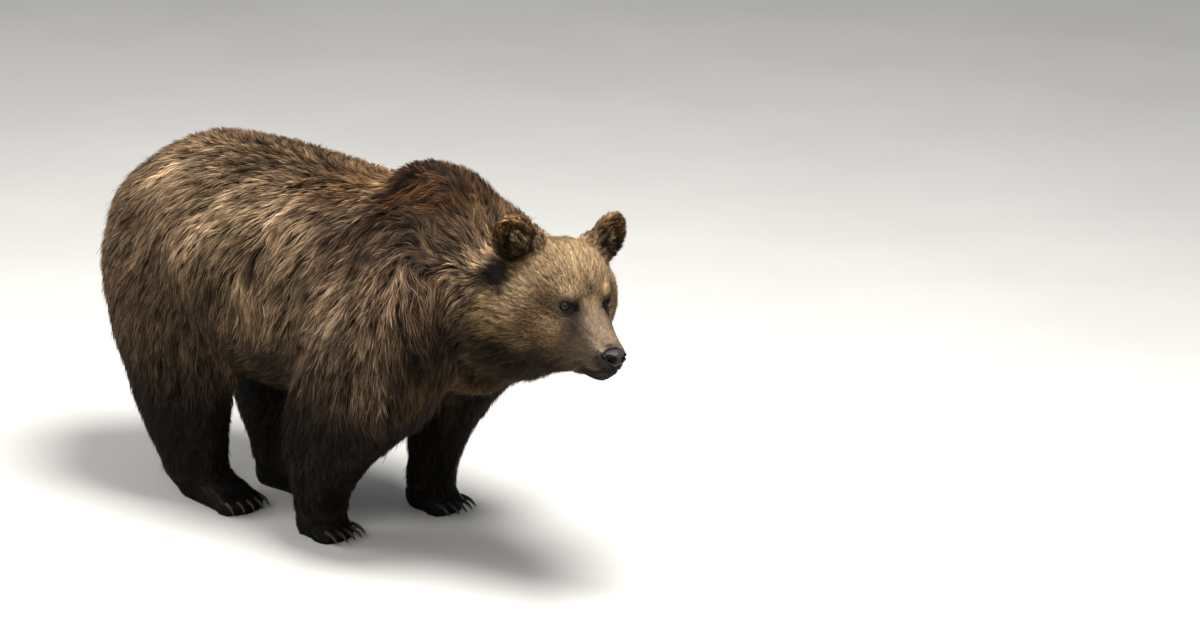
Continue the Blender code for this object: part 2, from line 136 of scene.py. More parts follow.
# --- Places taken from the frame ---
def middle(node):
    low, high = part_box(node)
    return np.array((low + high) / 2)


def unit(vectors):
    return vectors / np.maximum(np.linalg.norm(vectors, axis=-1, keepdims=True), 1e-9)


EYES = {side: middle(f"eye_{side}") for side in SIDES}
EYE_RADIUS = (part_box("eye_left")[1].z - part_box("eye_left")[0].z) / 2
NOSE = middle("nose")
BETWEEN_EYES = (EYES["left"] + EYES["right"]) / 2
MUZZLE_SLOPE = math.radians(21.7)  # of the line from the eyes to the nose, below the head's own level


def head_axes():
    """The head's own forward, left and up, as rows."""
    left = unit(EYES["left"] - EYES["right"])
    down_muzzle = NOSE - BETWEEN_EYES
    down_muzzle = unit(down_muzzle - left * (down_muzzle @ left))
    off_muzzle = np.cross(down_muzzle, left)
    forward = down_muzzle * math.cos(MUZZLE_SLOPE) + off_muzzle * math.sin(MUZZLE_SLOPE)
    return np.array([forward, left, np.cross(forward, left)])


HEAD_AXES = head_axes()
EYE_OUT = (EYES["left"] - EYES["right"]) @ HEAD_AXES[1] * 500  # millimetres off the middle of the face


def on_face(points):
    """Forward, out to either side and up from between the eyes, in millimetres."""
    local = (points - BETWEEN_EYES) @ HEAD_AXES.T * 1000
    local[:, 1] = np.abs(local[:, 1])
    return local


# --- Small maths ---
def ramp(values, low, high):
    """0 up to low, 1 from high on, smooth between."""
    t = np.clip((values - low) / (high - low), 0, 1)
    return t * t * (3 - 2 * t)


def fade(values, low, high):
    """1 up to low, 0 from high on, smooth between."""
    return 1 - ramp(values, low, high)


def bump(values, centre, spread):
    """1 at centre, falling off to nothing a few spreads away."""
    return np.exp(-(((values - centre) / spread) ** 2))


def spot(local, place, size):
    """A bump in three dimensions, on the face."""
    return np.exp(-(((local - place) / size) ** 2).sum(1))


def noise(points, size, seed):
    """Smooth noise from -1 to 1 in features of this size."""
    grid = points / size
    base = np.floor(grid).astype(np.int64)
    part = grid - base
    part = part * part * (3 - 2 * part)
    total = np.zeros(len(points))
    for corner in np.ndindex(2, 2, 2):
        cell = base + corner
        code = cell[:, 0] * 73856093 ^ cell[:, 1] * 19349663 ^ cell[:, 2] * 83492791 ^ (seed + 1) * 6542989
        code = (code ^ (code >> 15)) * 739982445 & 0xFFFFFFFF
        code = (code ^ (code >> 13)) * 695872825 & 0xFFFFFFFF
        value = (code ^ (code >> 16)) % 65536 / 32767.5 - 1
        total += np.prod(np.where(corner, part, 1 - part), axis=1) * value
    return total


def distance(points, place):
    return np.linalg.norm(points - place, axis=1)


def turned(vectors, axes, angles):
    """Vectors turned about axes that stand square to them."""
    return vectors * np.cos(angles)[:, None] + np.cross(axes, vectors) * np.sin(angles)[:, None]


def across(vectors, normals):
    """Vectors laid flat on the surface."""
    return unit(vectors - normals * (vectors * normals).sum(1, keepdims=True))


# --- Meshes ---
def linked(name, data):
    """A new object in the scene."""
    made = bpy.data.objects.new(name, data)
    bpy.context.scene.collection.objects.link(made)
    return made


def welded(*nodes):
    """The CAD nodes' meshes, joined along their sharp edges."""
    bm = bmesh.new()
    for node in nodes:
        bm.from_mesh(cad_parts[node].data)
    bmesh.ops.remove_doubles(bm, verts=bm.verts, dist=WELD)
    return bm


def mesh_of(bm, name):
    mesh = bpy.data.meshes.new(name)
    bm.to_mesh(mesh)
    bm.free()
    return mesh


def modified(bm, kind, **settings):
    """A mesh of the bmesh with one modifier applied."""
    holder = linked("holder", mesh_of(bm, "holder"))
    modifier = holder.modifiers.new("modifier", kind)
    for setting, value in settings.items():
        setattr(modifier, setting, value)
    graph = bpy.context.evaluated_depsgraph_get()
    mesh = bpy.data.meshes.new_from_object(holder.evaluated_get(graph))
    bpy.data.objects.remove(holder)
    return mesh


def fused(bm, voxel):
    """The bmesh as a bmesh of even squares, with what overlaps joined."""
    mesh = modified(bm, "REMESH", mode="VOXEL", voxel_size=voxel)
    bm = bmesh.new()
    bm.from_mesh(mesh)
    return bm


def read(items, field, width, kind=float):
    values = np.empty((len(items), width), kind)
    items.foreach_get(field, values.reshape(-1))
    return values


class Surface:
    """A mesh while it is shaped: points, triangles and edges."""

    def __init__(self, bm):
        bmesh.ops.triangulate(bm, faces=bm.faces)
        mesh = mesh_of(bm, "shape")
        self.points = read(mesh.vertices, "co", 3)
        self.triangles = read(mesh.polygons, "vertices", 3, np.int64)
        self.edges = read(mesh.edges, "vertices", 2, np.int64)
        self.degree = np.bincount(self.edges.ravel(), minlength=len(self.points))[:, None]

    def gathered(self, where, values):
        """At each point, the sum of the values that go there."""
        return np.stack([np.bincount(where, column, len(self.points)) for column in values.T], axis=1)

    def averaged(self, values):
        """Each point's mean of its neighbours' values."""
        a, b = self.edges.T
        return (self.gathered(a, values[b]) + self.gathered(b, values[a])) / self.degree

    def spread(self, values, rounds):
        for _ in range(rounds):
            values = (values + self.averaged(values)) / 2
        return values

    def soften(self, rounds, share=1.0):
        """Smooths in pairs of steps that shrink and swell again, so that the forms keep their size."""
        for step in range(rounds * 2):
            pull = 0.6 if step % 2 == 0 else -0.53
            self.points = self.points + (self.averaged(self.points) - self.points) * pull * share

    def facing(self):
        """The way each triangle faces, as long as twice its area."""
        corners = self.points[self.triangles]
        return np.cross(corners[:, 1] - corners[:, 0], corners[:, 2] - corners[:, 0])

    def normals(self):
        face = self.facing()
        return unit(sum(self.gathered(corner, face) for corner in self.triangles.T))


# --- The shape of the skin ---
def fused_flesh():
    """All the flesh as one closed body, finer over the face."""
    bm = welded(*FLESH)
    bm.normal_update()
    for vert in bm.verts:
        vert.co += vert.normal * OVERLAP
    bm = fused(bm, SKIN_VOXEL)
    keep_largest(bm)
    refine(bm, BETWEEN_EYES, 0.19)
    for side in SIDES:
        refine(bm, EYES[side], 0.042)
        refine(bm, EYES[side], 0.026)
        refine(bm, middle(f"ear_{side}"), 0.085)
    refine(bm, NOSE, 0.085)
    return Surface(bm)


def keep_largest(bm):
    """Removes the specks that the fusing leaves in the cuts."""
    left = set(bm.verts)
    bodies = []
    while left:
        body = [left.pop()]
        for vert in body:
            for edge in vert.link_edges:
                other = edge.other_vert(vert)
                if other in left:
                    left.remove(other)
                    body.append(other)
        bodies.append(body)
    bodies.sort(key=len)
    specks = [v for body in bodies[:-1] for v in body]
    bmesh.ops.delete(bm, geom=specks, context="VERTS")


def refine(bm, centre, reach):
    """Halves the faces within reach of the centre."""
    centre = Vector(centre)
    near = {v for v in bm.verts if (v.co - centre).length < reach}
    edges = [e for e in bm.edges if e.verts[0] in near and e.verts[1] in near]
    bmesh.ops.subdivide_edges(bm, edges=edges, cuts=1, use_grid_fill=True)


def zone_shares(surface):
    """How much of each zone there is at each point, with soft borders."""
    corners, faces, zones = [], [], []
    for node, zone in ZONE_OF.items():
        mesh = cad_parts[node].data
        start = len(corners)
        corners += [v.co for v in mesh.vertices]
        faces += [[start + i for i in p.vertices] for p in mesh.polygons]
        zones += [ZONE_NAMES.index(zone)] * len(mesh.polygons)
    tree = BVHTree.FromPolygons(corners, faces)
    nearest = [zones[tree.find_nearest(Vector(p))[2]] for p in surface.points]
    return surface.spread(np.eye(len(ZONE_NAMES))[nearest], ZONE_BLENDING)


def by_zone(shares, quality):
    """A quality of the coat at each point, from the table."""
    column = QUALITIES.index(quality)
    return shares @ np.array([row[column] for row in ZONES.values()], float)


def share_of(shares, *zones):
    return shares[:, [ZONE_NAMES.index(zone) for zone in zones]].sum(1)


def follow_ears(surface, shares):
    """Draws the skin of the ears onto the solid ears, whose rims the fusing has blunted, then shrinks it."""
    ear = np.clip(share_of(shares, "ear") * 1.4, 0, 1)
    for side in SIDES:
        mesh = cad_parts[f"ear_{side}"].data
        tree = BVHTree.FromPolygons([v.co for v in mesh.vertices], [p.vertices for p in mesh.polygons])
        centre = middle(f"ear_{side}")
        near = np.flatnonzero(distance(surface.points, centre) < 0.1)
        for i in near:
            place, _, _, gap = tree.find_nearest(Vector(surface.points[i]))
            if gap < 0.006:
                pull = fade(gap, 0.003, 0.006)
                surface.points[i] += (np.array(place) - surface.points[i]) * pull
        surface.points[near] += (centre - surface.points[near]) * (EAR_SHRINK * ear[near])[:, None]


def eye_distance(points):
    return np.minimum(*(distance(points, EYES[side]) for side in SIDES))


def shortness(points):
    """How short the hair is: 1 on the muzzle and round the eyes, 0 from the cheeks back."""
    x, _, z = on_face(points).T
    muzzle = ramp(x, -30, 70) * (1 - 0.8 * ramp(-z, 110, 140))
    muzzle = np.maximum(muzzle, ramp(x, 85, 125))
    eyes = fade(eye_distance(points), 0.02, 0.06)
    return np.maximum(muzzle, eyes * 0.9) * ramp(x, -120, -40)


def sink(surface, shares):
    """Moves the skin in from the coat's outline to the coat's roots. The soles stay on the floor."""
    points = surface.points
    soles = points[:, 2] < 0.003
    face = shortness(points)
    depth = by_zone(shares, "depth") * (1 - face) + SHORT_HAIR_SINK * face
    depth = depth * (1 - share_of(shares, "ear")) * ramp(eye_distance(points), EYE_RADIUS, EYE_RADIUS * 2.6)
    steps = 4
    for _ in range(steps):
        inward = surface.spread(surface.normals(), 2)
        surface.points = surface.points - unit(inward) * depth[:, None] / steps
    surface.points[soles, 2] = 0


def eye_axes(surface, side):
    """Towards the nose, up and out of the head, at this eye, as rows."""
    near = distance(surface.points, EYES[side]) < 0.028
    out = unit(surface.normals()[near].mean(0))
    up = unit(HEAD_AXES[2] - out * (HEAD_AXES[2] @ out))
    fore = np.cross(up, out) if side == "left" else np.cross(out, up)
    tilt = math.radians(12)  # the inner corner is the lower one
    fore, up = fore * math.cos(tilt) - up * math.sin(tilt), up * math.cos(tilt) + fore * math.sin(tilt)
    return np.array([fore, up, out])


def opening_at(local):
    """Where a point lies in the opening between the lids: under 1 is inside, at the eye's own scale."""
    along = (local[:, 0] - OPENING_PLACE[0]) / EYE_RADIUS / OPENING[0]
    up = (local[:, 1] - OPENING_PLACE[1]) / EYE_RADIUS / OPENING[1]
    return np.abs(up) + along * along


def shape_lids(surface, side):
    """Draws the skin over the eyeball as two lids, and back behind it in the opening between them."""
    axes = eye_axes(surface, side)
    local = (surface.points - EYES[side]) @ axes.T
    reach = np.hypot(local[:, 0], local[:, 1]) / EYE_RADIUS
    near = (reach < 2.2) & (np.abs(local[:, 2]) < EYE_RADIUS * 2.4)
    ball = np.sqrt(np.maximum(EYE_RADIUS**2 - (reach * EYE_RADIUS) ** 2, 0))
    lid = ball + LID * fade(reach, 0.8, 1.3) * (1 + 0.7 * ramp(local[:, 1], 0, EYE_RADIUS * 0.5))
    over = fade(reach, 0.85, 1.25)
    height = np.where(near, local[:, 2], 0)
    height = height * (1 - over) + np.maximum(height, lid) * over
    height = height - 0.0016 * bump(reach, 1.3, 0.13) - 0.001 * bump(reach, 1.62, 0.12)  # creases
    opening = opening_at(local)
    height = np.where(opening < 1, np.minimum(height, ball - 0.003 * (1 - opening) - 0.0012), height)
    rim = bump(opening, 1.12, 0.1) * 0.0007
    local[:, 2] = np.where(near, height + rim, local[:, 2])
    surface.points = np.where(near[:, None], local @ axes + EYES[side], surface.points)


def mouth_line(local):
    """1 on the line between the lips, which runs down and back from under the nose, to 0 a little off it."""
    x, _, z = local.T
    return bump(z, -120 - 0.434 * (134 - x), 3.5) * ramp(x, 70, 85)


def shape_face(surface):
    """Brows, cheeks, lips and chin, the hollows round the eyes, the mouth and the groove under the nose."""
    local = on_face(surface.points)
    x, y, z = local.T
    forms = (  # how far each stands out, its place and its size
        (5.0, (-12, EYE_OUT - 4, 26), (24, 24, 11)),  # brow
        (-4.5, (24, EYE_OUT - 16, -6), (18, 12, 16)),  # inner corner of the eye
        (-2.5, (6, EYE_OUT, -22), (22, 16, 9)),  # under the eye
        (-3.0, (30, 0, 4), (30, 16, 30)),  # stop
        (3.0, (-30, EYE_OUT + 10, -34), (30, 20, 16)),  # cheekbone
        (3.0, (125, 34, -100), (30, 14, 12)),  # side of the lip
        (8.0, (146, 10, -108), (20, 24, 16)),  # front of the lip
        (5.0, (115, 0, -140), (40, 24, 14)),  # chin
        (1.8, (80, 0, -20), (50, 20, 20)),  # bridge
    )
    move = sum(height * spot(local, place, size) for height, place, size in forms)
    move -= 5.5 * mouth_line(local)
    move -= 2.0 * bump(y, 0, 2.2) * ramp(x, 135, 150) * ramp(z, -118, -112)  # groove
    move *= (eye_distance(surface.points) > EYE_RADIUS) / 1000
    surface.points = surface.points + surface.normals() * move[:, None]
    off_nose = (surface.points - NOSE) @ HEAD_AXES.T
    near = fade(distance(surface.points, NOSE), 0.04, 0.06)
    off_nose += (pinched(off_nose) - off_nose) * near[:, None]
    surface.points = off_nose @ HEAD_AXES + NOSE


def pinched(local):
    """The nose's own places, brought in to a narrow foot and flattened above."""
    place = local.copy()
    place[:, 1] *= 1 - 0.5 * ramp(-local[:, 2], 0, 0.024)
    place[:, 2] -= 0.3 * np.maximum(local[:, 2] - 0.012, 0)
    return place


# --- The lie of the coat ---
FAN_SOURCE = (0.27, 0.2, 0.72)  # on the shoulder, where the hair of the upper foreleg fans out from
HIP = (-0.42, 0.15, 1.0)  # the hair of the thigh runs away from here


def lie_of_coat(surface, shares):
    """The way the hair points at each place on the skin."""
    points, normals = surface.points, surface.normals()
    x, y, z = points.T
    outward = np.clip(y / 0.07, -1, 1)
    flank = fade(np.abs(normals[:, 2]), 0.25, 0.9)
    rump = fade(x, -0.6, -0.4)
    nape = ramp(normals[:, 0], 0.1, 0.45) * ramp(z, 0.72, 0.84)
    belly = ramp(-normals[:, 2], 0.2, 0.8)

    everywhere = np.ones(len(points))
    mirror = np.stack([everywhere, outward, everywhere], axis=1)

    def towards(*way):
        """A way to point, the same on both sides, with y as outwards."""
        return np.stack([part * everywhere for part in way], axis=1) * mirror

    def away_from(place):
        """The way from a place on each side, with y as outwards."""
        return points - np.array(place) * mirror

    low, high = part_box("foreleg_upper_right")
    shoulder = ((low.x + high.x * 2) / 3, 0.18, 0.95)
    ears = np.zeros_like(points)
    paws = np.zeros_like(points)
    for side in SIDES:
        root = middle(f"ear_{side}") * 0.45 + (BETWEEN_EYES - HEAD_AXES[0] * 0.16) * 0.55
        here = (outward > 0) == (side == "left")
        ears[here] = (points - root)[here]
        for paw in (f"forepaw_{side}", f"hindfoot_{side}"):
            low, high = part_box(paw)
            ankle = np.array((low.x * 0.8 + high.x * 0.2, (low.y + high.y) / 2, high.z * 1.1))
            off_middle = np.abs(points - middle(paw)) / np.array(high - low)
            inside = (off_middle[:, 0] < 1) & (off_middle[:, 1] < 0.75)
            paws[inside] = (points - ankle)[inside]
    down = (0.25 + (1.15 - 0.45 * rump) * flank * (1 - belly)) * (1 - nape) - 0.35 * nape
    fan = ramp(z, 0.37, 0.46) * fade(z, 0.6, 0.76)
    arm = unit(away_from(shoulder)) + [-0.1, 0, -0.35]
    arm += unit(away_from(FAN_SOURCE)) * (1.8 * fan)[:, None]
    flows = {
        "trunk": towards(-0.5 - 0.4 * belly, 0.42 * (1 - 0.7 * nape), -down),
        "neck": towards(-0.7, 0.1, -(0.15 + 0.8 * flank) * (1 - nape) + 0.35 * nape),
        "head": points - NOSE,
        "jaw": points - NOSE + [0, 0, -0.05],
        "ear": ears,
        "tail": towards(-0.3, 0, -1),
        "arm": arm,
        "forearm": towards(-0.28, 0.05, -1),
        "thigh": unit(away_from(HIP)) + [-0.15, 0, -0.35],
        "shank": towards(-0.22, 0.05, -1),
        "paw": unit(paws) + [0.2, 0, -0.2],
    }
    flow = sum(unit(flows[zone]) * share_of(shares, zone)[:, None] for zone in ZONE_NAMES)
    for side in SIDES:
        near = 0.75 * fade(distance(points, EYES[side]), 0.018, 0.042)[:, None]
        flow = flow * (1 - near) + unit(points - EYES[side]) * near
    for _ in range(6):
        flow = across(surface.spread(across(flow, normals), 3), normals)
    swirl = 0.34 * noise(points, 0.12, 1) + 0.34 * noise(points, 0.05, 2)
    return turned(flow, normals, swirl * (1 - 0.6 * share_of(shares, "head", "jaw")))


# --- Markings, with painted shade and painted light ---
class Paint:
    """The colours of the hair's tips and roots at some places, painted one over another."""

    def __init__(self, shares):
        self.tips, self.under = by_zone(shares, "tips"), by_zone(shares, "under")
        self.on = 1  # the part of the body that is being painted

    def __call__(self, share, tips, under=None, on=None):
        """Covers this share of the old colours, on the part named by `on` or else on self.on."""
        share = (np.clip(share, 0, 1) * (self.on if on is None else on))[:, None]
        self.tips = self.tips * (1 - share) + np.array(tips) * share
        if under:
            self.under = self.under * (1 - share) + np.array(under) * share


def markings(points, normals, shares):
    """The colours of the hair's roots and tips at each place: the coat's markings, with painted shade and
    painted light among them.
    """
    paint = Paint(shares)
    mark_body(points, normals, shares, paint)
    mark_head(points, normals, shares, paint)
    return np.clip(paint.under / 1000, 0, 1), np.clip(paint.tips / 1000, 0, 1)


def mark_body(points, normals, shares, paint):
    """Paints the trunk, neck and legs."""
    body = paint.on = share_of(shares, "trunk", "thigh", "arm", "neck")
    x, _, z = points.T
    patchy = noise(points, 0.15, 5) * 0.5 + noise(points, 0.055, 6) * 0.6

    def patch(centre_x, spread_x, centre_z, spread_z):
        """A soft patch of the body, seen from the side."""
        return bump(x, centre_x, spread_x) * bump(z, centre_z, spread_z)

    paint(patch(-0.62, 0.16, 0.74, 0.17) * 0.8, (265, 178, 108))
    paint(patch(-0.25, 0.2, 0.82, 0.12) * (0.95 + 0.6 * patchy), (480, 345, 210))
    paint(patch(-0.56, 0.1, 0.9, 0.06) * 0.9, (500, 353, 222))
    paint(patch(-0.46, 0.06, 0.8, 0.05) * 0.5, (110, 74, 48))
    paint(patch(-0.1, 0.14, 0.7, 0.13) * (0.6 + 0.6 * patchy), (360, 255, 158))
    paint(bump(x, -0.03, 0.12) * ramp(z, 0.87, 0.93) * 0.85, (380, 205, 92))
    paint(bump(x, -0.34, 0.14) * ramp(z, 0.93, 0.97) * 0.5, (110, 68, 36), (10, 6, 3))
    hump = ramp(x, 0.07, 0.17) * fade(x, 0.46, 0.6) * ramp(z, 0.83, 0.93)
    paint(hump * 0.95, (60, 25, 8), (8, 3, 1))
    paint(patch(0.26, 0.13, 0.84, 0.07) * 0.75, (60, 40, 28))
    paint(patch(0.08, 0.05, 0.86, 0.05) * 0.6, (100, 72, 56))
    paint(patch(0.13, 0.08, 0.63, 0.07) * 0.95, (560, 400, 260))
    paint(patch(-0.02, 0.05, 0.54, 0.06) * 0.6, (50, 35, 24), (6, 4, 3))
    paint(patch(0.03, 0.05, 0.73, 0.07) * 0.7, (60, 42, 30), (8, 5, 3))
    paint(patch(-0.13, 0.09, 0.485, 0.068) * 0.95, (14, 9, 6), (3, 2, 1.5))
    paint(patch(0.44, 0.04, 0.74, 0.14) * 0.55, (55, 28, 15), (6, 3, 2))
    paint(patch(-0.35, 0.12, 0.56, 0.08) * 0.8, (50, 34, 22), (6, 4, 3))
    ridge = ramp(normals[:, 2], 0.85, 0.99) * ramp(z, 0.84, 0.92) * fade(x, 0.4, 0.5)
    paint(ridge * 0.6, (70, 40, 20), (8, 4, 2))
    belly = fade(z, 0.44, 0.6)
    paint(belly * 0.9, (30, 20, 12), (4, 3, 2), share_of(shares, "trunk"))
    for zones, low, high in ((("thigh", "shank"), 0.26, 0.54), (("arm", "forearm"), 0.36, 0.5)):
        leg = share_of(shares, *zones)
        browner = fade(z, low + 0.2, high + 0.2)
        paint(browner * 0.65, (80, 53, 35), (8, 5, 3), leg)
        darker = fade(z, low, high)
        paint(darker * 0.97, (11, 7.5, 5), (3, 2, 1.5), leg)
    # painted shade under the head: the throat nearly black
    throat_shade = ramp(x, 0.37, 0.45) * fade(z, 0.64, 0.78)
    paint(throat_shade * 0.96, (7, 4.5, 3), (2, 1, 1))
    front = ramp(normals[:, 0], 0.25, 0.7) * fade(z, 0.52, 0.66)
    paint(front * 0.9, (16, 11, 7), (3, 2, 1), share_of(shares, "arm"))
    # painted backlight: a golden glow on the hair at the bottom of the chest
    backlit_chest_glow = ramp(x, 0.34, 0.46) * fade(z, 0.4, 0.62)
    paint(backlit_chest_glow * 0.4, (190, 92, 26))
    forward, _, up = on_face(points).T
    behind_ears = fade(forward, -260, -200) * ramp(up, -30, 30) * ramp(x, 0.36, 0.44)
    paint(behind_ears * 0.8, (210, 132, 70), (10, 6, 3))
    # painted shade: a dark band on the neck behind the ruff
    shade_behind_ruff = bump(forward, -215, 42) * fade(up, 0, 60)
    paint(shade_behind_ruff * 0.75, (24, 16, 11), (4, 3, 2), share_of(shares, "neck", "trunk"))
    paint.tips *= np.exp(0.55 * patchy * body)[:, None]


def mark_head(points, normals, shares, paint):
    """Paints the face and ears."""
    local = on_face(points)
    x, y, z = local.T
    facing_up = normals @ HEAD_AXES[2]
    ear = share_of(shares, "ear")
    paint.on = np.clip(share_of(shares, "head", "jaw") * 1.3, 0, 1)
    crown = ramp(x, -170, -90) * ramp(facing_up, 0.05, 0.75)
    paint(crown, (700, 500, 290), (150, 98, 50))
    between = spot(local, (-15, 0, 45), (45, 22, 35))
    paint(between * 0.35, (280, 200, 140), (80, 55, 40))
    muzzle = ramp(x, 5, 50)
    paint(muzzle, (155, 110, 76), (62, 43, 30))
    bridge = muzzle * ramp(facing_up, 0.45, 0.95) * (1 - 0.2 * bump(x, 60, 35))
    paint(bridge, (430, 316, 212), (170, 121, 80))
    brow = spot(local, (-12, EYE_OUT + 6, 24), (30, 26, 12))
    paint(brow * 0.6, (660, 480, 290), (70, 45, 26))
    ruff = bump(x, -135, 35) * bump(z, -45, 70)
    paint(ruff * 0.6, (600, 420, 240), (30, 18, 9))
    paint(spot(local, (-100, 163, -22), (24, 40, 40)), (800, 590, 350), (50, 32, 18))
    # painted shade on the underside of the jaw and head
    shade_under_jaw = ramp(-z, 110, 165) * fade(x, 20, 80)
    paint(shade_under_jaw * 0.92, (16, 10, 6), (3, 2, 1))
    round_eye = spot(local, (12, EYE_OUT + 2, -8), (34, 28, 22))
    paint(round_eye, (50, 34, 24), (10, 7, 5))
    inner_corner = spot(local, (34, EYE_OUT - 12, -18), (18, 18, 18))
    paint(inner_corner * 0.8, (55, 37, 26), (12, 8, 6))
    tear = spot(local, (56, EYE_OUT - 8, -40), (36, 18, 20))
    paint(tear * 0.9, (55, 37, 26), (18, 12, 9))
    # dark bare skin round the eye, with painted shadow of the brow over it
    socket = spot(local, (16, EYE_OUT - 8, 1), (28, 27, 16.5))
    paint(socket * 1.8, (10, 7, 5), (5, 4, 3))
    lids = fade(eye_distance(points), EYE_RADIUS * 1.15, EYE_RADIUS * 1.6)
    paint(lids, (8, 6, 5), (6, 4, 4))
    # dark lips, with painted shade in the crease between them
    paint(mouth_line(local) * 1.2, (6, 4, 4), (5, 4, 3))
    chin = ramp(x, 60, 110) * fade(z, -128, -104)
    paint(chin * 0.95, (18, 13, 10), (7, 5, 4))
    leather = 0.041 - 0.01 * ramp(facing_up, 0.3, 0.8)
    round_nose = fade(distance(points, NOSE), leather, leather + 0.014)
    paint(round_nose, (30, 23, 20), (10, 8, 7))
    places = [points - middle(f"ear_{side}") for side in SIDES]
    near_ear = np.minimum(*(np.linalg.norm(place, axis=1) for place in places))
    left_side = (points - BETWEEN_EYES) @ HEAD_AXES[1] > 0
    above = np.where(left_side, *(place @ HEAD_AXES[2] for place in places))
    by_ear = fade(near_ear, 0.06, 0.105) * (1 - ear)
    paint(by_ear * ramp(y, 100, 130) * 0.6, (120, 72, 36), (12, 7, 4), 1)
    # dark hair below and behind the ear, with painted shade between the ear and the ruff
    dark_hair_and_shade_below_ear = spot(local, (-196, 158, 12), (54, 40, 45))
    paint(dark_hair_and_shade_below_ear * 2.4, (7, 4, 2), (2, 1, 1), 1)
    cup = ramp(normals @ HEAD_AXES[0], 0.25, 0.65)
    paint(cup * 0.95, (15, 9, 6), (3, 2, 1), ear)
    wisps = cup * fade(near_ear, 0.026, 0.042) * ramp(noise(points, 0.009, 9), -0.12, 0.18)
    paint(wisps, (740, 580, 340), (70, 48, 26), ear)
    rim = ramp(near_ear, 0.042, 0.056) * ramp(above, -0.02, 0.02)
    paint(rim * 0.8, (290, 160, 66), (20, 11, 5), ear)
    top = ramp(facing_up, 0.2, 0.75) * ramp(above, 0.01, 0.03)
    paint(top, (420, 240, 100), (30, 16, 7), ear)
    root = spot(local, (-130, 78, 110), (40, 22, 34))
    paint(root * 2, (560, 395, 230), (110, 70, 36), 1)


# --- Materials ---
def grey(value):
    return value, value, value


def rgb(*thousandths):
    """A colour for a socket."""
    return (*(part / 1000 for part in thousandths), 1)


class Look:
    """A node material under construction."""

    def __init__(self, name, **sockets):
        self.material = bpy.data.materials.new(name)
        self.material.use_nodes = True
        self.tree = self.material.node_tree
        self.shader = self.tree.nodes["Principled BSDF"]
        for socket, value in sockets.items():
            self.give(socket.replace("_", " "), value)

    def give(self, socket, value):
        """Sets or links a socket of the shader."""
        self.feed(self.shader.inputs[socket], value)

    def feed(self, socket, value):
        if isinstance(value, bpy.types.NodeSocket):
            self.tree.links.new(value, socket)
        else:
            socket.default_value = value

    def node(self, kind, inputs=None, **settings):
        """A node with its inputs set or linked, and its first output."""
        made = self.tree.nodes.new(kind)
        for setting, value in settings.items():
            setattr(made, setting, value)
        for socket, value in (inputs or {}).items():
            self.feed(made.inputs[socket], value)
        return made.outputs[0]

    def attribute(self, name, output="Fac"):
        return self.node("ShaderNodeAttribute", attribute_name=name).node.outputs[output]

    def coordinates(self):
        return self.node("ShaderNodeTexCoord").node.outputs["Object"]

    def maths(self, operation, a, b):
        return self.node("ShaderNodeMath", {0: a, 1: b}, operation=operation)

    def shifted(self, value, by, amount):
        """The value, moved up or down by this amount of another that varies about a half."""
        swing = self.maths("MULTIPLY", self.maths("SUBTRACT", by, 0.5), amount)
        return self.maths("ADD", value, swing)

    def mix(self, share, a, b, blend="MIX"):
        """Colours a and b mixed."""
        made = self.tree.nodes.new("ShaderNodeMix")
        made.data_type, made.blend_type = "RGBA", blend
        for socket, value in ((0, share), (6, a), (7, b)):
            self.feed(made.inputs[socket], value)
        return made.outputs[2]

    def hair_colour(self, share):
        """The colour this far from the hair's root to its tip."""
        return self.mix(share, self.attribute("under", "Color"), self.attribute("tips", "Color"))

    def noise(self, scale, detail, stretch=(1, 1, 1)):
        """Fine noise on the piece's own coordinates."""
        mapped = self.node("ShaderNodeMapping", {"Vector": self.coordinates(), "Scale": stretch})
        return self.node("ShaderNodeTexNoise", {"Vector": mapped, "Scale": scale, "Detail": detail})

    def ramp(self, value, *stops):
        made = self.tree.nodes.new("ShaderNodeValToRGB")
        self.feed(made.inputs[0], value)
        elements = made.color_ramp.elements
        while len(elements) < len(stops):
            elements.new(0.5)
        for element, (place, colour) in zip(elements, stops):
            element.position = place
            element.color = rgb(*colour)
        return made.outputs[0]

    def bumps(self, height, strength, depth):
        facing = self.node("ShaderNodeBump", {"Height": height, "Strength": strength, "Distance": depth})
        self.give("Normal", facing)


def hair_material():
    """Hair that goes from its root's colour to its tip's, each lock and each strand a little its own. The
    dark roots are partly painted shade deep in the coat.
    """
    look = Look("hair", Roughness=0.58, Specular_IOR_Level=0.07)
    lock = look.attribute("lock")
    place = look.shifted(look.attribute("along"), lock, 0.5)
    share = look.ramp(place, (0.15, grey(0)), (0.5, grey(360)), (0.95, grey(1000)))
    own = look.ramp(
        look.attribute("strand"),
        (0.0, (450, 420, 380)),
        (0.5, (950, 940, 920)),
        (1.0, (1680, 1650, 1600)),
    )
    shared = look.ramp(lock, (0.0, (280, 260, 240)), (0.5, (870, 860, 850)), (1.0, grey(1580)))
    colour = look.mix(1.0, look.hair_colour(share), own, "MULTIPLY")
    look.give("Base Color", look.mix(1.0, colour, shared, "MULTIPLY"))
    return look.material


def skin_material():
    """The skin between the hairs, in colours between the roots' dark ones and the tips', with the fine grain
    of short hair. Its darkness is partly painted shade under the coat.
    """
    look = Look("skin", Roughness=0.7, Specular_IOR_Level=0.25)
    speckle = look.ramp(look.noise(420, 3), (0.4, grey(50)), (0.68, grey(550)))
    look.give("Base Color", look.hair_colour(speckle))
    look.bumps(look.noise(700, 3), 0.45, 0.0012)
    return look.material


def eye_material():
    """A brown iris round a dark pupil, under a wet surface."""
    look = Look("eye", Roughness=0.07, Specular_IOR_Level=0.28)
    colour = look.ramp(
        look.shifted(look.attribute("off_axis"), look.noise(900, 2), 0.06),
        (0.0, (2, 2, 2)),
        (0.27, (3, 2, 2)),
        (0.33, (24, 13, 7)),
        (0.6, (44, 26, 14)),
        (0.74, (6, 4, 3)),
        (1.0, (14, 9, 7)),
    )
    look.give("Base Color", colour)
    return look.material


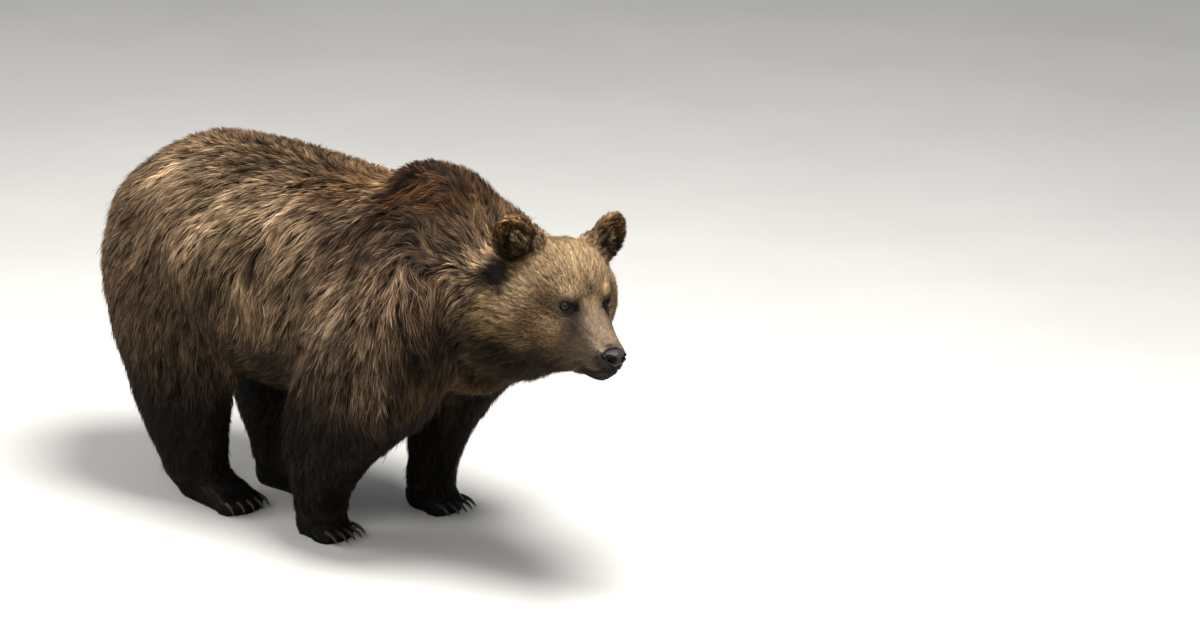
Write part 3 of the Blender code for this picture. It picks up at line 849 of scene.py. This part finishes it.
def nose_material():
    """Damp, pebbled, dark grey skin, drier at the sides, with painted shade: black inside the nostrils and
    darker in the slits and groove, under the pad and at its sides.
    """
    look = Look("nose_leather", Roughness=0.42, Specular_IOR_Level=0.32)
    pebbles = look.node("ShaderNodeTexVoronoi", {"Vector": look.coordinates(), "Scale": 620.0})
    colour = look.ramp(pebbles, (0.0, (36, 32, 31)), (0.7, (14, 12, 12)))
    colour = look.mix(look.noise(60, 2), colour, rgb(22, 17, 17))
    # painted shade: near black in the nostrils, darker in the slits and groove, under the pad and at its
    # sides
    colour = look.mix(look.attribute("nose_shade"), colour, rgb(2, 2, 2))
    look.give("Base Color", colour)
    damp = look.ramp(look.noise(90, 2), (0.35, grey(380)), (0.65, grey(560)))
    dry = look.maths("MULTIPLY", look.attribute("dry"), 0.85)
    look.give("Roughness", look.maths("MAXIMUM", damp, dry))
    look.bumps(pebbles, 0.35, 0.0008)
    return look.material


def claw_material():
    """Dark horn, paler and more worn towards the tip, with grooves along it."""
    look = Look("claw_horn", Roughness=0.5, Specular_IOR_Level=0.25)
    grain = look.noise(160, 3, (0.25, 1, 1))
    colour = look.ramp(
        look.shifted(look.attribute("tip"), grain, 0.5),
        (0.1, (7, 5, 4)),
        (0.6, (15, 11, 8)),
        (1.0, (40, 30, 21)),
    )
    look.give("Base Color", colour)
    look.give("Roughness", look.ramp(grain, (0.3, grey(400)), (0.7, grey(600))))
    look.bumps(grain, 0.25, 0.0006)
    return look.material


# --- Pieces from arrays ---
def mesh_from(name, points, triangles):
    mesh = bpy.data.meshes.new(name)
    mesh.from_pydata(points, [], triangles)
    mesh.shade_smooth()
    return mesh


def give(mesh, name, values):
    """Writes values, or colours, to a point attribute."""
    if values.ndim == 2:
        attribute = mesh.attributes.new(name, "FLOAT_COLOR", "POINT")
        values = np.concatenate([values, np.ones((len(values), 1))], axis=1)
        attribute.data.foreach_set("color", values.astype(np.float32).ravel())
    else:
        attribute = mesh.attributes.new(name, "FLOAT", "POINT")
        attribute.data.foreach_set("value", values.astype(np.float32))


def add_piece(name, mesh, material, slot, *nodes):
    """A piece of the bear. It stands for these CAD nodes."""
    mesh.name = name
    piece = linked(name, mesh)
    mesh.materials.append(material)
    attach(piece, "root")
    if nodes:
        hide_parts(*nodes)
    return piece


def unwrapped(piece):
    """Unwraps the skin. Returns each triangle's corners on the map."""
    piece.data.uv_layers.new(name="OFBake")
    bpy.context.view_layer.objects.active = piece
    piece.select_set(True)
    bpy.ops.object.mode_set(mode="EDIT")
    bpy.ops.mesh.select_all(action="SELECT")
    bpy.ops.uv.smart_project(angle_limit=math.radians(66), island_margin=0.004, scale_to_bounds=True)
    bpy.ops.object.mode_set(mode="OBJECT")
    piece.select_set(False)
    return read(piece.data.uv_layers["OFBake"].data, "uv", 2, np.float32).reshape(-1, 3, 2)


# --- The coat ---
class Roots:
    """Places on the skin, with all that the skin knows there."""

    def __init__(self, skin, crowd):
        """Spread evenly, with crowd places to a square centimetre."""
        corners = skin.surface.points[skin.surface.triangles]
        area = np.linalg.norm(skin.surface.facing(), axis=1) / 2 * 1e4  # square centimetres
        total = np.cumsum(area * crowd[skin.surface.triangles].mean(1))
        count = int(total[-1])
        steps = (np.arange(count) + RNG.random(count)) * total[-1] / count
        self.triangle = np.minimum(np.searchsorted(total, steps), len(total) - 1)
        u, v = RNG.random((2, count))
        flip = u + v > 1
        u[flip], v[flip] = 1 - u[flip], 1 - v[flip]
        self.shares = np.stack([1 - u - v, u, v], axis=1)
        self.skin = skin
        self.points = (corners[self.triangle] * self.shares[:, :, None]).sum(1)
        self.normals = unit(self.read(skin.normals))
        self.lie = across(self.read(skin.lie), self.normals)
        self.count = count

    def read(self, values):
        """Values of the skin's points, at each root."""
        corners = values[self.skin.surface.triangles[self.triangle]]
        shares = self.shares if values.ndim == 1 else self.shares[:, :, None]
        return (corners * shares).sum(1)


class Finder:
    """Finds which of a set of places is nearest to a point."""

    def __init__(self, places):
        self.tree = KDTree(len(places))
        for i, place in enumerate(places):
            self.tree.insert(place, i)
        self.tree.balance()

    def nearest(self, points):
        return np.array([self.tree.find(point)[1] for point in points])


def combed(skin, locks, bend, reach):
    """Where the middles of the locks run as they lie along the skin: STRAND_STEPS + 1 places each."""
    place, normals, lie = locks.points, locks.normals, locks.lie
    height = locks.read(skin.height) * RNG.uniform(0.7, 1.2, locks.count)
    droop = 0.35 * ramp(reach, 0.02, 0.06)
    stride = reach / COMB_STEPS
    track = [place]
    for step in range(1, COMB_STEPS + 1):
        part = step / COMB_STEPS
        heading = turned(lie, normals, bend)
        heading[:, 2] -= droop * part
        place = place + across(heading, normals) * stride[:, None]
        here = skin.finder.nearest(place)
        same_side = (skin.normals[here] * normals).sum(1) > 0.3
        normals = np.where(same_side[:, None], skin.normals[here], normals)
        lie = np.where(same_side[:, None], skin.lie[here], lie)
        above = ((place - skin.surface.points[here]) * normals).sum(1)
        move = np.where(same_side, height * (1 - (1 - part) ** 2) - above, 0)
        move = np.clip(np.where(move < 0, move * CLING, move), -stride, stride)
        place = place + normals * move[:, None]
        track.append(place)
    return np.stack(track[:: COMB_STEPS // STRAND_STEPS])


def neighbours_along(locks, finder, spacing):
    """For each lock, the locks that lie before and behind it along the hair, and itself."""
    rows = [np.arange(locks.count)]
    for way in (1, -1):
        place, lie = locks.points, locks.lie
        for _ in range(STREAK):
            place = place + lie * (way * spacing)[:, None]
            rows.append(finder.nearest(place))
            lie = locks.lie[rows[-1]]
    return np.stack(rows)


def grow(skin):
    """All the strands of the coat: their roots, their places from root to tip, lengths and locks' tones."""
    locks = Roots(skin, skin.crowd / LOCK_STRANDS)
    finder = Finder(locks.points)
    spacing = np.sqrt(LOCK_STRANDS / locks.read(skin.crowd)) * 0.01  # in metres, from square centimetres
    along = neighbours_along(locks, finder, spacing)

    def streaked(size):
        """Random values that run in streaks along the hair."""
        return RNG.normal(0, size, locks.count)[along].sum(0) / math.sqrt(len(along))

    spread = locks.read(skin.looseness)
    tone = np.clip(0.5 + (streaked(0.21) + RNG.normal(0, 0.07, locks.count)) * spread, 0, 1)
    bend = (streaked(0.12) + RNG.normal(0, 0.12, locks.count)) * spread
    reach = locks.read(skin.length) * RNG.uniform(0.8, 1.2, locks.count)
    gather = np.clip(locks.read(skin.gather) * RNG.uniform(0.55, 1.4, locks.count), 0, 0.92)
    middles = combed(skin, locks, bend, reach)
    roots = Roots(skin, skin.crowd)
    lock = finder.nearest(roots.points)
    size = RNG.uniform(0.72, 1.08, roots.count)
    length = reach[lock] * size
    astray = np.where(RNG.random(roots.count) < STRAYS, RNG.uniform(0.04, 0.22, roots.count), 0)
    off_side = np.cross(roots.normals, roots.lie) * (length * RNG.normal(0, 0.09, roots.count))[:, None]
    off_skin = roots.normals * (length * (RNG.normal(0, 0.04, roots.count) + astray))[:, None]
    from_middle = roots.points - middles[0, lock]
    track = []
    for step in range(STRAND_STEPS + 1):
        part = step / STRAND_STEPS
        run = (middles[step, lock] - middles[0, lock]) * size[:, None]
        drawn_in = 1 - gather[lock] * part**0.8
        track.append(middles[0, lock] + run + from_middle * drawn_in[:, None] + (off_side + off_skin) * part)
    track[0] = roots.points - roots.normals * ROOT_DEPTH
    track = np.stack(track)
    track[1:, :, 2] = np.maximum(track[1:, :, 2], FLOOR_GAP)
    return roots, track, length, tone[lock]


def blades(track, normals, width, roll, joints):
    """Flat tapering strips along the tracks: points, triangles of one strip, and each point's normal."""
    if joints == 2:
        track = track[[0, 2, 3]]
    heading = unit(track[-1] - track[0])
    side = unit(np.cross(normals, heading))
    side = turned(side, heading, roll)
    face = np.cross(heading, side)
    face *= np.sign((face * normals).sum(1, keepdims=True))
    flat = normals * 0.7 + face * 0.4  # lit partly as the skin under it, partly as the strand itself
    points, facing = [], []
    for point, share in zip(track, TAPER[joints]):
        half = side * (width * share / 2)[:, None]
        points += [point - half, point + half]
        facing += [unit(flat - side * 0.4), unit(flat + side * 0.4)]
    points.append(track[-1])
    facing.append(unit(flat))
    strip = []
    for k in range(0, 2 * joints - 2, 2):
        strip += [(k, k + 3, k + 1), (k, k + 2, k + 3)]
    strip.append((2 * joints - 2, 2 * joints, 2 * joints - 1))
    return np.stack(points, axis=1), np.array(strip), np.stack(facing, axis=1)


def add_coat(skin, hair):
    """The whole coat, in pieces by zone that keep under MAX_TRIANGLES."""
    roots, track, length, tone = grow(skin)
    calm = 1 - 0.3 * roots.read(share_of(skin.shares, "head", "jaw"))
    own = 0.5 + (RNG.random(roots.count) - 0.5) * calm
    roll = RNG.normal(0, 0.5, roots.count)
    width = roots.read(skin.width) * RNG.uniform(0.7, 1.25, roots.count)
    under, tips = roots.read(skin.under), roots.read(skin.tips)
    place = (skin.places[roots.triangle] * roots.shares[:, :, None]).sum(1)
    joints = np.where(length >= LONG_HAIR, 3, 2)

    def add_batch(name, batch):
        """A piece of the coat made of these strands."""
        parts = []
        start = 0
        for bends in (3, 2):
            members = batch[joints[batch] == bends]
            if not len(members):
                continue
            points, strip, facing = blades(
                track[:, members], roots.normals[members], width[members], roll[members], bends)
            each = points.shape[1]
            first = start + np.arange(len(members)) * each
            along = np.repeat(np.linspace(0, 1, bends + 1), 2)[:each]
            offset = np.stack([np.tile((-0.5, 0.5), bends + 1)[:each], along - 0.5], axis=1) * PATCH
            offset[-1, 0] = 0
            parts.append((
                points.reshape(-1, 3),
                (strip[None] + first[:, None, None]).reshape(-1, 3),
                facing.reshape(-1, 3),
                np.tile(along, len(members)),
                np.repeat(members, each),
                (place[members, None] + offset[None]).reshape(-1, 2),
            ))
            start += len(members) * each
        points, triangles, facing, along, strand, patch = (np.concatenate(p) for p in zip(*parts))
        mesh = mesh_from(name, points, triangles)
        give(mesh, "along", along)
        for attribute, values in (("lock", tone), ("strand", own), ("under", under), ("tips", tips)):
            give(mesh, attribute, values[strand])
        corners = np.clip(patch, 0, 1)[triangles.ravel()]
        mesh.uv_layers.new(name="OFBake").data.foreach_set("uv", corners.astype(np.float32).ravel())
        mesh.normals_split_custom_set_from_vertices(facing.tolist())
        add_piece(name, mesh, hair, "coat_brown")

    zone = roots.read(skin.shares).argmax(1)
    for name, zones in COAT_PIECES.items():
        chosen = np.flatnonzero(np.isin(zone, [ZONE_NAMES.index(z) for z in zones]))
        triangles = 2 * joints[chosen] - 1
        share = (np.cumsum(triangles) // MAX_TRIANGLES).astype(int)
        for part in range(share.max() + 1):
            add_batch(f"{name}_{part + 1}", chosen[share == part])


# --- The bear ---
class Skin:
    """The finished skin and what the coat reads from it."""

    def __init__(self):
        self.surface = surface = fused_flesh()
        self.shares = shares = zone_shares(surface)
        thin = share_of(shares, "ear", "paw")[:, None]
        surface.soften(SMOOTHING, 1 - 0.9 * np.clip(thin, 0, 1))
        follow_ears(surface, shares)
        sink(surface, shares)
        shape_face(surface)
        for side in SIDES:
            shape_lids(surface, side)
        self.normals = surface.normals()
        self.lie = lie_of_coat(surface, shares)
        self.finder = Finder(surface.points)
        self.set_hair()
        self.set_colours()
        mesh = mesh_from("skin", surface.points, surface.triangles)
        give(mesh, "under", self.under)
        give(mesh, "tips", self.tips)
        self.places = unwrapped(add_piece("skin", mesh, skin_material(), "coat_brown", *FLESH))

    def set_colours(self):
        """Each hair's root has the colours of its own place and its tip those of the place where it lies."""
        points, shares = self.surface.points, self.shares
        self.under, _ = markings(points, self.normals, shares)
        ends = points + self.lie * (self.length * 0.6)[:, None]
        _, self.tips = markings(ends, self.normals, shares)

    def set_hair(self):
        """How long, high, wide, dense and loose the hair is at each point."""
        points, shares = self.surface.points, self.shares
        x, _, z = points.T
        forward, _, up = on_face(points).T
        face = shortness(points)
        off_eye = ramp(eye_distance(points), 0.018, 0.046)
        head = share_of(shares, "head", "jaw")
        foreleg = share_of(shares, "arm", "forearm")
        ruff = share_of(shares, "head") * bump(forward, -135, 45) * fade(up, 20, 70)
        skirt = share_of(shares, "arm") * bump(z, 0.47, 0.07)
        feather = foreleg * bump(z, 0.34, 0.12) * ramp(-self.normals[:, 0], 0, 0.7)
        spine = share_of(shares, "trunk") * ramp(self.normals[:, 2], 0.8, 0.98)
        crest = ramp(x, 0.05, 0.2) * ramp(z, 0.86, 0.95) * share_of(shares, "trunk", "neck")
        beard = head * ramp(-up, 105, 140) * fade(forward, 50, 100)
        rump = fade(x, -0.56, -0.36)
        shoulder = bump(x, 0.27, 0.15) * ramp(z, 0.66, 0.78)

        def quality(name):
            return by_zone(shares, name) * (1 - face) + SHORT_HAIR[name] * face

        self.length = quality("length") * (0.4 + 0.6 * off_eye)
        self.length *= 1 + 0.4 * skirt + 0.5 * feather + 0.8 * ruff + 0.6 * beard - 0.4 * crest - 0.35 * spine
        self.height = quality("depth") * (0.5 + 0.5 * off_eye)
        self.height *= 1 + 0.8 * ruff + 0.05 * spine + 0.5 * feather + 0.35 * skirt
        self.height += 0.008 * beard
        self.width = quality("width") * (1 - 0.2 * crest)
        self.gather = quality("gather") * (1 - 0.5 * crest) + 0.25 * ruff
        self.looseness = 1 - 0.68 * head - 0.35 * rump + 0.15 * foreleg + 0.6 * ruff + 0.6 * shoulder
        self.crowd = np.where(self.bare(), 0, quality("crowd") * (1 + 0.5 * crest))

    def bare(self):
        """Where no hair grows: the lids' edges, the soles and under the nose pad."""
        points = self.surface.points
        bare = (points[:, 2] < 0.01) & (self.normals[:, 2] < -0.4)
        for side in SIDES:
            at_eye = (points - EYES[side]) @ eye_axes(self.surface, side).T
            bare |= (opening_at(at_eye) < 1.6) & (np.abs(at_eye[:, 2]) < EYE_RADIUS * 2)
        low, high = (np.array(corner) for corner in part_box("nose"))
        in_nose = ((points > low - 0.001) & (points < high + 0.001)).all(1)
        return bare | (in_nose & (on_face(points)[:, 0] > 146))


def add_eye(skin, side, material):
    """The eyeball, with the cornea's bulge over the iris."""
    out = eye_axes(skin.surface, side)[2]
    bm = bmesh.new()
    bmesh.ops.create_icosphere(bm, subdivisions=5, radius=1)
    points = np.array([v.co for v in bm.verts])
    angle = np.arccos(np.clip(points @ out, -1, 1))
    bulge = EYEBALL * (1 + CORNEA * fade(angle, 0.3, 0.75))
    for vert, place in zip(bm.verts, EYES[side] + points * (bulge * EYE_RADIUS)[:, None]):
        vert.co = place
    mesh = mesh_of(bm, f"eyeball_{side}")
    mesh.shade_smooth()
    give(mesh, "off_axis", angle)
    add_piece(f"eyeball_{side}", mesh, material, "eye", f"eye_{side}")


def add_nose(material):
    """The nose pad, with deep nostrils that run out into a slit at each side, and a groove between them.
    Painted shade darkens the nostrils, slits, groove, underside and sides.
    """
    surface = Surface(fused(welded("nose"), NOSE_VOXEL))
    surface.soften(NOSE_SMOOTHING)
    local = pinched((surface.points - NOSE) @ HEAD_AXES.T)
    x, y, z = local[:, 0], np.abs(local[:, 1]), local[:, 2]
    front = ramp(x, -0.002, 0.006)
    out, up = y - NOSTRIL[0], z - NOSTRIL[1]
    off_hole = np.hypot(out / NOSTRIL_SIZE[0], (up - 0.15 * out) / NOSTRIL_SIZE[1])
    hole = fade(off_hole, 0.6, 1.05) * front
    dark = fade(off_hole, 0.85, 1.2) * front
    slit = np.hypot((x - 0.004) / 0.015, (up + 0.35 * (0.01 - x)) / 0.004)
    slit = fade(slit, 0.5, 1.2) * ramp(y, 0.016, 0.023)
    groove = bump(y, 0, 0.0015) * front * fade(z, 0.004, 0.01)
    sides = ramp(y, 0.022, 0.03)
    # painted shade: black in the nostrils, darker in the slits and groove, under the pad and at its sides
    nose_shade = dark + slit * 0.9 + groove * 0.5 + ramp(-z, 0, 0.012) * 0.8 + sides * 0.4
    local[:, 0] -= hole * 0.014 + groove * 0.0022
    local[:, 1] -= np.sign(local[:, 1]) * slit * 0.0045
    mesh = mesh_from("nose_pad", local @ HEAD_AXES + NOSE, surface.triangles)
    give(mesh, "nose_shade", np.clip(nose_shade, 0, 1))
    give(mesh, "dry", sides)
    add_piece("nose_pad", mesh, material, "nose_skin", "nose")


def add_claws(material):
    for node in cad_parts:
        if node.startswith("claw_"):
            mesh = modified(welded(node), "SUBSURF", levels=2, render_levels=2)
            mesh.shade_smooth()
            low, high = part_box(node)
            give(mesh, "tip", (read(mesh.vertices, "co", 3)[:, 0] - low.x) / (high.x - low.x))
            add_piece(node + "_horn", mesh, material, "claw", node)


# --- The stage ---
CAMERA_AZIMUTH, CAMERA_HEIGHT = math.radians(43), math.radians(17)  # round from -Y towards +X, and up
CAMERA_DISTANCE = 14.0
CAMERA_LENS = 155.4  # millimetres
CAMERA_CENTRE = Vector((-0.0848, 0.0198, 0.5))  # what it is turned about
CAMERA_AIM = (0.6676, 0.0351)  # where it looks, to the right of the centre and up


def aim(thing, place, target):
    thing.location = place
    thing.rotation_euler = (Vector(target) - Vector(place)).to_track_quat("-Z", "Y").to_euler()


def add_camera():
    back = Vector((
        math.sin(CAMERA_AZIMUTH) * math.cos(CAMERA_HEIGHT),
        -math.cos(CAMERA_AZIMUTH) * math.cos(CAMERA_HEIGHT),
        math.sin(CAMERA_HEIGHT),
    ))
    right = Vector((math.cos(CAMERA_AZIMUTH), math.sin(CAMERA_AZIMUTH), 0))
    target = CAMERA_CENTRE + right * CAMERA_AIM[0] + back.cross(right) * CAMERA_AIM[1]
    data = bpy.data.cameras.new("camera")
    data.lens = CAMERA_LENS
    camera = linked("camera", data)
    aim(camera, CAMERA_CENTRE + back * CAMERA_DISTANCE, target)
    bpy.context.scene.camera = camera


def add_light(name, place, target, size, power, colour):
    data = bpy.data.lights.new(name, "AREA")
    data.shape = "DISK"
    data.size = size
    data.energy = power
    data.color = colour
    aim(linked(name, data), place, target)


def add_floor():
    bm = bmesh.new()
    bmesh.ops.create_grid(bm, x_segments=24, y_segments=24, size=30)
    mesh = mesh_of(bm, "floor")
    look = Look("floor_paint", Roughness=0.75)
    tone = look.ramp(look.noise(1.4, 4), (0.3, (600, 590, 570)), (0.7, (640, 630, 610)))
    look.give("Base Color", tone)
    mesh.materials.append(look.material)
    floor = linked("floor", mesh)


def add_stage():
    add_floor()
    add_light("sky", (1.0, 0.2, 5.0), (0, 0, 0.5), 2.4, 460, (1.0, 0.98, 0.95))
    add_light("front", (2.0, -5.0, 3.8), (0.2, 0, 0.6), 3.0, 150, (1.0, 0.97, 0.92))
    add_light("side", (-4.5, -2.5, 3.0), (-0.3, 0, 0.6), 3.0, 150, (1.0, 0.98, 0.95))
    world = bpy.data.worlds.new("studio")
    world.use_nodes = True
    backdrop = world.node_tree.nodes["Background"]
    backdrop.inputs["Color"].default_value = rgb(900, 920, 950)
    backdrop.inputs["Strength"].default_value = 0.35
    bpy.context.scene.world = world
    bpy.context.scene.view_settings.view_transform = "Standard"


def main():
    add_stage()
    add_camera()
    skin = Skin()
    eye = eye_material()
    for side in SIDES:
        add_eye(skin, side, eye)
    add_nose(nose_material())
    add_claws(claw_material())
    add_coat(skin, hair_material())


main()
